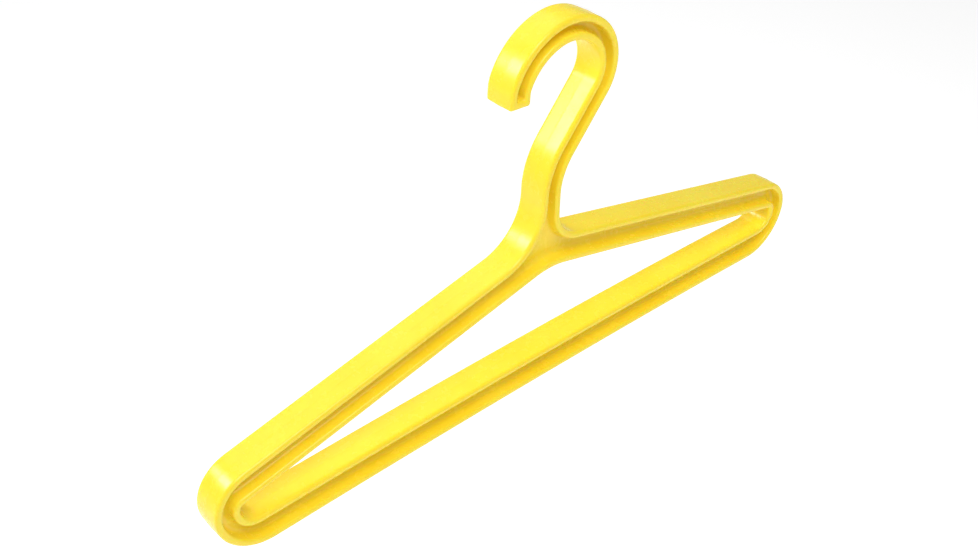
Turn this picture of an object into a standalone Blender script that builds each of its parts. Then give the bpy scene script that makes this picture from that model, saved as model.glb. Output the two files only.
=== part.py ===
"""One-piece moulded plastic clothes hanger with a trouser bar and an integral hook.

Metres, +X along the bar, +Z up, +Y through the thickness. The origin is the point
of the hook that rests on a rail, at mid-thickness. The section is an I-beam: a
flange runs round every outside edge and a web stands at mid-thickness.
"""

from math import atan, cos, pi, radians, sin, tan

import bmesh
import bpy

# Section
DEPTH = 0.0152  # front rim to back rim
WEB = 0.0034  # thickness of the web
FLANGE = 0.0035  # thickness of the flange, seen from the front
RIM_ROUND = 0.0011  # rounding of the flange's rims

# Trouser bar and ends
BAR_HALF = 0.1500  # half of the bar's lower edge, between the end arcs
BAR_HEIGHT = 0.0164
BAR_ARCH = 0.0021  # rise of the bar at its middle
END_LOWER_R = 0.0247
END_LOWER_TURN = radians(84)
END_UPPER_R = 0.0195

# Shoulders and the opening
SLOPE = radians(13.2)
OPEN_HALF = 0.1555
OPEN_LOWER_R = 0.0078
OPEN_LOWER_TURN = radians(98)
OPEN_UPPER_R = 0.0023
OPEN_APEX_R = 0.0374

# Neck and hook
NECK_X = -0.0015
NECK_WIDTH = 0.0111
NECK_STRAIGHT_TOP = 0.1005
FILLET_RIGHT = 0.0154
FILLET_LEFT = 0.0270
BEND_R = 0.0338  # centre line
BEND_TURN = radians(38.8)
LEAN_RUN = 0.0282
HOOK_ARCS = (
    (0.0191, radians(89.5)),
    (0.0248, radians(51)),
    (0.0288, radians(54)),
    (0.0110, radians(21)),
)
TIP_RUN = 0.0050
TIP_CORNER = 0.0013
POCKET_CORNER = 0.0010

ARC_STEP = radians(7.5)
BAR_STEPS = 5  # straight pieces in each half of the arched bar


class Pen:
    """Draws a loop of lines and tangent arcs, moved sideways by `shift` to its left."""

    def __init__(self, x, z, heading, shift):
        self.x, self.z, self.heading, self.shift = x, z, heading, shift
        self.points = []
        self.mark()

    def mark(self):
        self.points.append(
            (
                self.x - self.shift * sin(self.heading),
                self.z + self.shift * cos(self.heading),
            )
        )

    def line(self, length):
        self.x += length * cos(self.heading)
        self.z += length * sin(self.heading)
        self.mark()

    def arc(self, radius, turn, fewest=1):
        """A left turn is positive."""
        side = 1 if turn > 0 else -1
        steps = max(fewest, round(abs(turn) / ARC_STEP))
        start = self.heading
        x0 = self.x - side * radius * sin(start)
        z0 = self.z + side * radius * cos(start)
        for step in range(1, steps + 1):
            self.heading = start + turn * step / steps
            self.x = x0 + side * radius * sin(self.heading)
            self.z = z0 - side * radius * cos(self.heading)
            self.mark()


def arch():
    """Turn and radius of half of the bar's slightly arched lower edge."""
    half_turn = 2 * atan(BAR_ARCH / BAR_HALF)
    return half_turn, BAR_HALF / sin(half_turn)


def outer_loop(inset):
    """The outside edge, anticlockwise from the middle of the bar's lower edge."""
    bow, bow_r = arch()
    corner = max(TIP_CORNER - inset, POCKET_CORNER)
    pen = Pen(0.0, BAR_ARCH, 0.0, inset)
    pen.arc(bow_r, -bow, BAR_STEPS)
    pen.arc(END_LOWER_R, END_LOWER_TURN)
    pen.arc(END_UPPER_R, pi - SLOPE - END_LOWER_TURN + bow)
    shoulder_x, shoulder_z = pen.x, pen.z

    right = NECK_X + NECK_WIDTH / 2
    foot = right + FILLET_RIGHT * (1 - sin(SLOPE))
    pen.line((shoulder_x - foot) / cos(SLOPE))
    pen.arc(FILLET_RIGHT, -(pi / 2 - SLOPE))
    pen.line(NECK_STRAIGHT_TOP - pen.z)
    pen.arc(BEND_R - NECK_WIDTH / 2, -BEND_TURN)
    pen.line(LEAN_RUN)
    for radius, turn in HOOK_ARCS:
        pen.arc(radius + NECK_WIDTH / 2, turn)
    pen.line(TIP_RUN - inset - corner)

    # The cut end of the hook, then the way back along the bowl.
    crossing = NECK_WIDTH - 2 * inset
    tip = Pen(*pen.points[-1], pen.heading, 0.0)
    tip.arc(corner, pi / 2)
    tip.line(crossing - 2 * corner)
    tip.arc(corner, pi / 2)
    pen.points += tip.points[1:]
    pen.heading += pi
    pen.x = tip.x + inset * sin(pen.heading)
    pen.z = tip.z - inset * cos(pen.heading)
    pen.line(TIP_RUN - inset - corner)
    for radius, turn in reversed(HOOK_ARCS):
        pen.arc(radius - NECK_WIDTH / 2, -turn)
    pen.line(LEAN_RUN)
    pen.arc(BEND_R + NECK_WIDTH / 2, BEND_TURN)

    left = NECK_X - NECK_WIDTH / 2
    foot = FILLET_LEFT * (1 - sin(SLOPE)) - left
    foot_z = shoulder_z + (shoulder_x - foot) * tan(SLOPE)
    pen.line(pen.z - foot_z - FILLET_LEFT * cos(SLOPE))
    pen.arc(FILLET_LEFT, -(pi / 2 - SLOPE))
    pen.line((shoulder_x - foot) / cos(SLOPE))
    pen.arc(END_UPPER_R, pi - SLOPE - END_LOWER_TURN + bow)
    pen.arc(END_LOWER_R, END_LOWER_TURN)
    pen.arc(bow_r, -bow, BAR_STEPS)
    return pen.points[:-1]


def opening_loop(outset):
    """The edge of the opening between bar and shoulders, anticlockwise."""
    bow, bow_r = arch()
    pen = Pen(0.0, BAR_HEIGHT + BAR_ARCH, 0.0, -outset)
    bow *= OPEN_HALF / BAR_HALF
    pen.arc(bow_r, -bow, BAR_STEPS)
    pen.arc(OPEN_LOWER_R, OPEN_LOWER_TURN)
    pen.arc(OPEN_UPPER_R, pi - SLOPE - OPEN_LOWER_TURN + bow)
    run = (pen.x - OPEN_APEX_R * sin(SLOPE)) / cos(SLOPE)
    pen.line(run)
    pen.arc(OPEN_APEX_R, 2 * SLOPE)
    pen.line(run)
    pen.arc(OPEN_UPPER_R, pi - SLOPE - OPEN_LOWER_TURN + bow)
    pen.arc(OPEN_LOWER_R, OPEN_LOWER_TURN)
    pen.arc(bow_r, -bow, BAR_STEPS)
    return pen.points[:-1]


def hook_seat():
    """The highest point of the bowl's inside edge, found where the arc lies level."""
    pen = Pen(NECK_X - NECK_WIDTH / 2, NECK_STRAIGHT_TOP, pi / 2, 0.0)
    pen.arc(BEND_R + NECK_WIDTH / 2, -BEND_TURN)
    pen.line(LEAN_RUN)
    for radius, turn in HOOK_ARCS:
        if pen.heading + turn > pi:
            pen.arc(radius - NECK_WIDTH / 2, pi - pen.heading)
            return pen.x, pen.z
        pen.arc(radius - NECK_WIDTH / 2, turn)
    return pen.x, pen.z


def yellow_plastic():
    material = bpy.data.materials.new("yellow_plastic")
    material.use_nodes = True
    shader = material.node_tree.nodes["Principled BSDF"]
    shader.inputs["Base Color"].default_value = (0.90, 0.72, 0.02, 1.0)
    shader.inputs["Roughness"].default_value = 0.32
    return material


def flange_section():
    """The flange's section from web to web, as (distance in from the edge, depth)."""
    r = RIM_ROUND
    rounded = [
        (inset - r * cos(step * pi / 4), DEPTH / 2 - r + r * sin(step * pi / 4))
        for inset, steps in ((r, range(3)), (FLANGE - r, range(2, 5)))
        for step in steps
    ]
    back = rounded[::-1]
    back = [(FLANGE, WEB / 2)] + back
    return back + [(inset, -depth) for inset, depth in back[::-1]]


def loft_flange(shape, loop_at, origin):
    """Adds the flange along a loop and returns the two rows where it meets the web."""
    rows = []
    for inset, depth in flange_section():
        rows.append(
            [
                shape.verts.new((x - origin[0], depth, z - origin[1]))
                for x, z in loop_at(inset)
            ]
        )
    for row, following in zip(rows, rows[1:]):
        for k in range(len(row)):
            shape.faces.new((row[k - 1], row[k], following[k], following[k - 1]))
    return rows[0], rows[-1]


def moulding(name, origin, collection):
    """Both flanges, with the web filled between them at its two depths."""
    shape = bmesh.new()
    outside = loft_flange(shape, outer_loop, origin)
    opening = loft_flange(shape, opening_loop, origin)
    for rows in zip(outside, opening):
        edges = [
            shape.edges.get((row[k - 1], row[k])) for row in rows for k in range(len(row))
        ]
        bmesh.ops.triangle_fill(shape, use_beauty=True, edges=edges)
    bmesh.ops.recalc_face_normals(shape, faces=shape.faces)
    mesh = bpy.data.meshes.new(name)
    shape.to_mesh(mesh)
    shape.free()
    body = bpy.data.objects.new(name, mesh)
    collection.objects.link(body)
    return body


def main():
    for old in list(bpy.data.objects):
        bpy.data.objects.remove(old)
    parts = bpy.data.collections.new("clothes_hanger")
    bpy.context.scene.collection.children.link(parts)
    body = moulding("hanger_moulding", hook_seat(), parts)
    body.data.materials.append(yellow_plastic())
    body.data.shade_smooth()
    body.data.set_sharp_from_angle(angle=radians(40))


main()
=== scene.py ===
"""Looks of a one-piece yellow plastic clothes hanger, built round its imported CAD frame.

Metres, in the CAD frame: +X along the trouser bar, +Z up, +Y through the thickness,
with the origin where the hook rests on a rail.
"""

from math import atan, cos, pi, radians, sin, tan

import bmesh
import bpy
from mathutils import Matrix, Vector


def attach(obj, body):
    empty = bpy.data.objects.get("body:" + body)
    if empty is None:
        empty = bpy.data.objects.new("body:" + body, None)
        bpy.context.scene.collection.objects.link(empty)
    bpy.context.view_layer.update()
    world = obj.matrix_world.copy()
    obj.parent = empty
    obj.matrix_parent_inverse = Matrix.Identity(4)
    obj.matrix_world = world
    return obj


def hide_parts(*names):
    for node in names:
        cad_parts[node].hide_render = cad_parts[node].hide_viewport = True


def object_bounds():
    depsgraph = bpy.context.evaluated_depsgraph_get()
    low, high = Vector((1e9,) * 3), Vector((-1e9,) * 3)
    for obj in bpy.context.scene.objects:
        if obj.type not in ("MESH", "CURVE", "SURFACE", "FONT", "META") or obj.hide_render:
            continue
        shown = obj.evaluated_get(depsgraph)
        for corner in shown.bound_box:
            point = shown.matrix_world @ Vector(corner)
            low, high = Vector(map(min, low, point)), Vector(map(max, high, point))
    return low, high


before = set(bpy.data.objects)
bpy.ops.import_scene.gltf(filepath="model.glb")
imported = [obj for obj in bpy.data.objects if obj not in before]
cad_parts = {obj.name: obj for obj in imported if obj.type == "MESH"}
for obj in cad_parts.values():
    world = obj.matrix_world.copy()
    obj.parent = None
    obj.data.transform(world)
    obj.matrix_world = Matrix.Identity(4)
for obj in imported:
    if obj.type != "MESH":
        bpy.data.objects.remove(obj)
cad_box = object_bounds()

# Section
DEPTH = 0.0152  # front rim to back rim
WEB = 0.0034
FLANGE = 0.0035
SKIN = 0.00008  # the finer arcs keep this far inside the CAD's
RIM_OUTER_ROUND = 0.0015
RIM_INNER_ROUND = 0.0012
ROOT_OUTER = 0.0017  # fillet where the outer flange meets the web
ROOT_OPENING = 0.0024  # the same for the flange round the opening
WALL_DRAFT = tan(radians(2.0))
FACE_DRAFT = tan(radians(1.5))  # outer faces fall away on each side of the parting line
PARTING_HEIGHT = 0.00005
PARTING_HALF = 0.00018
FACE_DEPTHS = (0.0045, 0.0028, 0.0014)  # rows down the outer face, rim to parting line

# Trouser bar and ends
BAR_HALF = 0.1500
BAR_HEIGHT = 0.0164
BAR_ARCH = 0.0021
END_LOWER_R = 0.0247
END_LOWER_TURN = radians(84)
END_UPPER_R = 0.0195

# Shoulders and the opening
SLOPE = radians(13.2)
OPEN_HALF = 0.1555
OPEN_LOWER_R = 0.0078
OPEN_LOWER_TURN = radians(98)
OPEN_UPPER_R = 0.0023
OPEN_APEX_R = 0.0374

# Neck and hook
NECK_X = -0.0015
NECK_WIDTH = 0.0111
NECK_STRAIGHT_TOP = 0.1005
FILLET_RIGHT = 0.0154
FILLET_LEFT = 0.0270
BEND_R = 0.0338
BEND_TURN = radians(38.8)
LEAN_RUN = 0.0282
HOOK_ARCS = (
    (0.0191, radians(89.5)),
    (0.0248, radians(51)),
    (0.0288, radians(54)),
    (0.0110, radians(21)),
)
TIP_RUN = 0.0050
TIP_CORNER = 0.0013
POCKET_CORNER = 0.0010
CORNER_SHARE = 0.42  # most of the tip's width that one corner takes
SHORTEST_RUN = 0.0001

ARC_STEP = radians(2.5)
BAR_STEPS = 16

# Camera
CAMERA_AT = (-0.30854, -0.30604, 0.20278)
CAMERA_AZIMUTH = radians(-41.738)
CAMERA_ELEVATION = radians(36.417)
CAMERA_ROLL = radians(0.836)
CAMERA_LENS = 43.812
CAMERA_SENSOR = 36.0

# Plastic
PIGMENT_DEEP = (0.95, 0.735, 0.034, 1.0)
PIGMENT_PALE = (0.97, 0.765, 0.046, 1.0)
PIGMENT_SCALE = 38.0
GLOSS_SCALE = 210.0
ROUGHNESS_LOW = 0.22
ROUGHNESS_HIGH = 0.30
SINK_SCALE = 70.0
SINK_DEPTH = 0.0006
SINK_STRENGTH = 0.10
GRAIN_SCALE = 2600.0
GRAIN_DEPTH = 0.00004
GRAIN_STRENGTH = 0.12
REFRACTION = 1.49
SPECULAR_LEVEL = 0.38
TRANSLUCENCY = 0.45
SCATTER_RADIUS = (1.0, 0.45, 0.04)
SCATTER_DEPTH = 0.003

# Floor and light: the softboxes' powers are in watts, their sides and distances in metres
FLOOR_DROP = 0.45
FLOOR_HALF = 6.0
FLOOR_WHITE = 0.9
FLOOR_GLOW = 0.45
FLOOR_ROUGHNESS = 0.9
WORLD_LEVEL = 0.35


class Pen:
    """Draws a loop of lines and tangent arcs, moved sideways by `shift` to its left."""

    def __init__(self, x, z, heading, shift):
        self.x, self.z, self.heading, self.shift = x, z, heading, shift
        self.points = []
        self.mark()

    def mark(self):
        self.points.append(
            (
                self.x - self.shift * sin(self.heading),
                self.z + self.shift * cos(self.heading),
            )
        )

    def line(self, length):
        self.x += length * cos(self.heading)
        self.z += length * sin(self.heading)
        self.mark()

    def arc(self, radius, turn, fewest=1):
        """A left turn is positive."""
        side = 1 if turn > 0 else -1
        steps = max(fewest, round(abs(turn) / ARC_STEP))
        start = self.heading
        x0 = self.x - side * radius * sin(start)
        z0 = self.z + side * radius * cos(start)
        for step in range(1, steps + 1):
            self.heading = start + turn * step / steps
            self.x = x0 + side * radius * sin(self.heading)
            self.z = z0 - side * radius * cos(self.heading)
            self.mark()


def arch():
    """Turn and radius of half of the bar's slightly arched lower edge."""
    half_turn = 2 * atan(BAR_ARCH / BAR_HALF)
    return half_turn, BAR_HALF / sin(half_turn)


def outer_loop(inset):
    """The outside edge, anticlockwise from the middle of the bar's lower edge."""
    bow, bow_r = arch()
    crossing = NECK_WIDTH - 2 * inset
    corner = min(max(TIP_CORNER - inset, POCKET_CORNER), CORNER_SHARE * crossing)
    tip_run = max(TIP_RUN - inset - corner, SHORTEST_RUN)
    pen = Pen(0.0, BAR_ARCH, 0.0, inset)
    pen.arc(bow_r, -bow, BAR_STEPS)
    pen.arc(END_LOWER_R, END_LOWER_TURN)
    pen.arc(END_UPPER_R, pi - SLOPE - END_LOWER_TURN + bow)
    shoulder_x, shoulder_z = pen.x, pen.z

    right = NECK_X + NECK_WIDTH / 2
    foot = right + FILLET_RIGHT * (1 - sin(SLOPE))
    pen.line((shoulder_x - foot) / cos(SLOPE))
    pen.arc(FILLET_RIGHT, -(pi / 2 - SLOPE))
    pen.line(NECK_STRAIGHT_TOP - pen.z)
    pen.arc(BEND_R - NECK_WIDTH / 2, -BEND_TURN)
    pen.line(LEAN_RUN)
    for radius, turn in HOOK_ARCS:
        pen.arc(radius + NECK_WIDTH / 2, turn)
    pen.line(tip_run)

    # The cut end of the hook, then the way back along the bowl.
    tip = Pen(*pen.points[-1], pen.heading, 0.0)
    tip.arc(corner, pi / 2)
    tip.line(crossing - 2 * corner)
    tip.arc(corner, pi / 2)
    pen.points += tip.points[1:]
    pen.heading += pi
    pen.x = tip.x + inset * sin(pen.heading)
    pen.z = tip.z - inset * cos(pen.heading)
    pen.line(tip_run)
    for radius, turn in reversed(HOOK_ARCS):
        pen.arc(radius - NECK_WIDTH / 2, -turn)
    pen.line(LEAN_RUN)
    pen.arc(BEND_R + NECK_WIDTH / 2, BEND_TURN)

    left = NECK_X - NECK_WIDTH / 2
    foot = FILLET_LEFT * (1 - sin(SLOPE)) - left
    foot_z = shoulder_z + (shoulder_x - foot) * tan(SLOPE)
    pen.line(pen.z - foot_z - FILLET_LEFT * cos(SLOPE))
    pen.arc(FILLET_LEFT, -(pi / 2 - SLOPE))
    pen.line((shoulder_x - foot) / cos(SLOPE))
    pen.arc(END_UPPER_R, pi - SLOPE - END_LOWER_TURN + bow)
    pen.arc(END_LOWER_R, END_LOWER_TURN)
    pen.arc(bow_r, -bow, BAR_STEPS)
    return pen.points[:-1]


def opening_loop(outset):
    """The edge of the opening between bar and shoulders, anticlockwise."""
    bow, bow_r = arch()
    pen = Pen(0.0, BAR_HEIGHT + BAR_ARCH, 0.0, -outset)
    bow *= OPEN_HALF / BAR_HALF
    pen.arc(bow_r, -bow, BAR_STEPS)
    pen.arc(OPEN_LOWER_R, OPEN_LOWER_TURN)
    pen.arc(OPEN_UPPER_R, pi - SLOPE - OPEN_LOWER_TURN + bow)
    run = (pen.x - OPEN_APEX_R * sin(SLOPE)) / cos(SLOPE)
    pen.line(run)
    pen.arc(OPEN_APEX_R, 2 * SLOPE)
    pen.line(run)
    pen.arc(OPEN_UPPER_R, pi - SLOPE - OPEN_LOWER_TURN + bow)
    pen.arc(OPEN_LOWER_R, OPEN_LOWER_TURN)
    pen.arc(bow_r, -bow, BAR_STEPS)
    return pen.points[:-1]


def hook_seat():
    """The highest point of the bowl's inside edge, found where the arc lies level."""
    pen = Pen(NECK_X - NECK_WIDTH / 2, NECK_STRAIGHT_TOP, pi / 2, 0.0)
    pen.arc(BEND_R + NECK_WIDTH / 2, -BEND_TURN)
    pen.line(LEAN_RUN)
    for radius, turn in HOOK_ARCS:
        if pen.heading + turn > pi:
            pen.arc(radius - NECK_WIDTH / 2, pi - pen.heading)
            return pen.x, pen.z
        pen.arc(radius - NECK_WIDTH / 2, turn)
    return pen.x, pen.z


def rounded(u0, v0, radius, first, last, steps):
    """Points of an arc in the section, from angle `first` to `last`, in degrees."""
    turn = (last - first) / steps
    return [
        (
            u0 + radius * cos(radians(first + turn * k)),
            v0 + radius * sin(radians(first + turn * k)),
        )
        for k in range(steps + 1)
    ]


def flange_section(root):
    """(distance in from the edge, depth) from web to web, round the flange."""
    half = DEPTH / 2
    wall_foot = FLANGE + WALL_DRAFT * (half - WEB / 2 - root)
    fall = SKIN + FACE_DRAFT * (half - RIM_OUTER_ROUND)
    points = rounded(wall_foot + root, WEB / 2 + root, root, 270, 180, 10)
    points += rounded(
        FLANGE - RIM_INNER_ROUND, half - RIM_INNER_ROUND, RIM_INNER_ROUND, 0, 90, 7
    )
    points += rounded(
        fall + RIM_OUTER_ROUND, half - RIM_OUTER_ROUND, RIM_OUTER_ROUND, 90, 180, 8
    )
    for depth in FACE_DEPTHS + (PARTING_HALF * 2, PARTING_HALF):
        points.append((SKIN + FACE_DRAFT * depth, depth))
    points.append((SKIN - PARTING_HEIGHT, 0.0))
    return points + [(u, -v) for u, v in points[-2::-1]]


def loft_flange(shape, loop_at, root, origin):
    """Adds the flange along a loop and returns the two rows where it meets the web."""
    rows = []
    for inset, depth in flange_section(root):
        rows.append(
            [
                shape.verts.new((x - origin[0], depth, z - origin[1]))
                for x, z in loop_at(inset)
            ]
        )
    for row, following in zip(rows, rows[1:]):
        for k in range(len(row)):
            shape.faces.new((row[k - 1], row[k], following[k], following[k - 1]))
    return rows[0], rows[-1]


def moulding(name, origin):
    """Both flanges, with the web filled between them at its two depths."""
    shape = bmesh.new()
    outside = loft_flange(shape, outer_loop, ROOT_OUTER, origin)
    opening = loft_flange(shape, opening_loop, ROOT_OPENING, origin)
    for rows in zip(outside, opening):
        edges = [
            shape.edges.get((row[k - 1], row[k])) for row in rows for k in range(len(row))
        ]
        bmesh.ops.triangle_fill(shape, use_beauty=True, edges=edges)
    bmesh.ops.recalc_face_normals(shape, faces=shape.faces)
    mesh = bpy.data.meshes.new(name)
    shape.to_mesh(mesh)
    shape.free()
    mesh.shade_smooth()
    body = bpy.data.objects.new(name, mesh)
    bpy.context.scene.collection.objects.link(body)
    weighted = body.modifiers.new("weighted", "WEIGHTED_NORMAL")
    weighted.mode = "FACE_AREA"
    return body


class Nodes:
    """Short hand for building a material's node tree."""

    def __init__(self, name):
        self.material = bpy.data.materials.new(name)
        self.material.use_nodes = True
        self.tree = self.material.node_tree
        self.shader = self.tree.nodes["Principled BSDF"]

    def add(self, kind, **values):
        node = self.tree.nodes.new(kind)
        for key, value in values.items():
            if key in node.inputs:
                node.inputs[key].default_value = value
            else:
                setattr(node, key, value)
        return node

    def link(self, source, target):
        self.tree.links.new(source, target)

    def noise(self, vector, scale, detail=3.0, rough=0.5):
        node = self.add("ShaderNodeTexNoise", Scale=scale, Detail=detail, Roughness=rough)
        self.link(vector, node.inputs["Vector"])
        return node.outputs["Fac"]

    def remap(self, value, low, high, to_low, to_high):
        node = self.add("ShaderNodeMapRange")
        for key, number in zip(
            ("From Min", "From Max", "To Min", "To Max"), (low, high, to_low, to_high)
        ):
            node.inputs[key].default_value = number
        self.link(value, node.inputs["Value"])
        return node.outputs["Result"]

    def bump(self, height, distance, strength, after=None):
        node = self.add("ShaderNodeBump", Strength=strength, Distance=distance)
        self.link(height, node.inputs["Height"])
        if after is not None:
            self.link(after, node.inputs["Normal"])
        return node.outputs["Normal"]


def yellow_plastic():
    """Plastic coloured all through, a little translucent, with a satin gloss."""
    n = Nodes("yellow_plastic")
    place = n.add("ShaderNodeTexCoord").outputs["Object"]

    # The pigment is a little uneven where the melt flowed.
    pigment = n.add("ShaderNodeMix", data_type="RGBA")
    pigment.inputs["A"].default_value = PIGMENT_DEEP
    pigment.inputs["B"].default_value = PIGMENT_PALE
    flow = n.remap(n.noise(place, PIGMENT_SCALE), 0.35, 0.65, 0.0, 1.0)
    n.link(flow, pigment.inputs["Factor"])
    n.link(pigment.outputs["Result"], n.shader.inputs["Base Color"])

    # Patches of more and less gloss.
    gloss = n.noise(place, GLOSS_SCALE, 4.0, 0.6)
    patches = n.remap(gloss, 0.3, 0.7, ROUGHNESS_LOW, ROUGHNESS_HIGH)
    n.link(patches, n.shader.inputs["Roughness"])

    # Shallow sink marks, then a fine grain.
    sink = n.bump(n.noise(place, SINK_SCALE, 1.0), SINK_DEPTH, SINK_STRENGTH)
    grain = n.bump(n.noise(place, GRAIN_SCALE, 2.0), GRAIN_DEPTH, GRAIN_STRENGTH, sink)
    n.link(grain, n.shader.inputs["Normal"])

    n.shader.inputs["IOR"].default_value = REFRACTION
    n.shader.inputs["Subsurface Weight"].default_value = TRANSLUCENCY
    n.shader.inputs["Subsurface Radius"].default_value = SCATTER_RADIUS
    n.shader.inputs["Subsurface Scale"].default_value = SCATTER_DEPTH
    n.shader.inputs["Specular IOR Level"].default_value = SPECULAR_LEVEL
    return n.material


def flat_white(name, level, glow):
    n = Nodes(name)
    n.shader.inputs["Base Color"].default_value = (level, level, level, 1.0)
    n.shader.inputs["Roughness"].default_value = FLOOR_ROUGHNESS
    n.shader.inputs["Emission Color"].default_value = (1.0, 1.0, 1.0, 1.0)
    n.shader.inputs["Emission Strength"].default_value = glow
    return n.material


def add_floor(height, half):
    shape = bmesh.new()
    bmesh.ops.create_grid(
        shape, x_segments=1, y_segments=1, size=half, matrix=Matrix.Translation((0, 0, height))
    )
    mesh = bpy.data.meshes.new("floor")
    shape.to_mesh(mesh)
    shape.free()
    mesh.materials.append(flat_white("floor_white", FLOOR_WHITE, FLOOR_GLOW))
    floor = bpy.data.objects.new("floor", mesh)
    bpy.context.scene.collection.objects.link(floor)


def direction(azimuth, elevation):
    """Unit vector from the object towards that side."""
    level = cos(elevation)
    return Vector((sin(azimuth) * level, -cos(azimuth) * level, sin(elevation)))


def add_softbox(name, azimuth, elevation, distance, width, height, power, target):
    light = bpy.data.lights.new(name, "AREA")
    light.shape = "RECTANGLE"
    light.size, light.size_y = width, height
    light.energy = power
    lamp = bpy.data.objects.new(name, light)
    towards = direction(radians(azimuth), radians(elevation))
    lamp.location = Vector(target) + towards * distance
    lamp.rotation_mode = "QUATERNION"
    lamp.rotation_quaternion = (-towards).to_track_quat("-Z", "Y")
    bpy.context.scene.collection.objects.link(lamp)


def add_world(level):
    world = bpy.data.worlds.new("studio")
    world.use_nodes = True
    background = world.node_tree.nodes["Background"]
    background.inputs["Color"].default_value = (1.0, 1.0, 1.0, 1.0)
    background.inputs["Strength"].default_value = level
    bpy.context.scene.world = world


def add_camera():
    back = direction(CAMERA_AZIMUTH, CAMERA_ELEVATION)
    level = Vector((cos(CAMERA_AZIMUTH), sin(CAMERA_AZIMUTH), 0.0))
    upright = back.cross(level)
    right = level * cos(CAMERA_ROLL) + upright * sin(CAMERA_ROLL)
    up = back.cross(right)
    data = bpy.data.cameras.new("camera")
    data.lens = CAMERA_LENS
    data.sensor_width = CAMERA_SENSOR
    data.clip_start, data.clip_end = 0.01, 50.0
    camera = bpy.data.objects.new("camera", data)
    turn = Matrix((right, up, back)).transposed()
    camera.matrix_world = Matrix.Translation(CAMERA_AT) @ turn.to_4x4()
    bpy.context.scene.collection.objects.link(camera)
    bpy.context.scene.camera = camera


def main():
    hanger = moulding("hanger", hook_seat())
    hanger.data.materials.append(yellow_plastic())
    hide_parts("hanger_moulding")
    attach(hanger, "root")

    low, high = cad_box
    middle = (low + high) / 2
    add_floor(low.z - FLOOR_DROP, FLOOR_HALF)
    # azimuth, elevation, distance, width, height, power
    add_softbox("key", -129, 31, 1.4, 0.42, 0.32, 8.0, middle)
    add_softbox("top", -28, 58, 1.6, 1.00, 0.90, 16.5, middle)
    add_softbox("back", 172, 50, 2.0, 1.60, 1.40, 7.0, middle)
    add_world(WORLD_LEVEL)
    add_camera()
    bpy.context.scene.view_settings.view_transform = "Standard"


main()
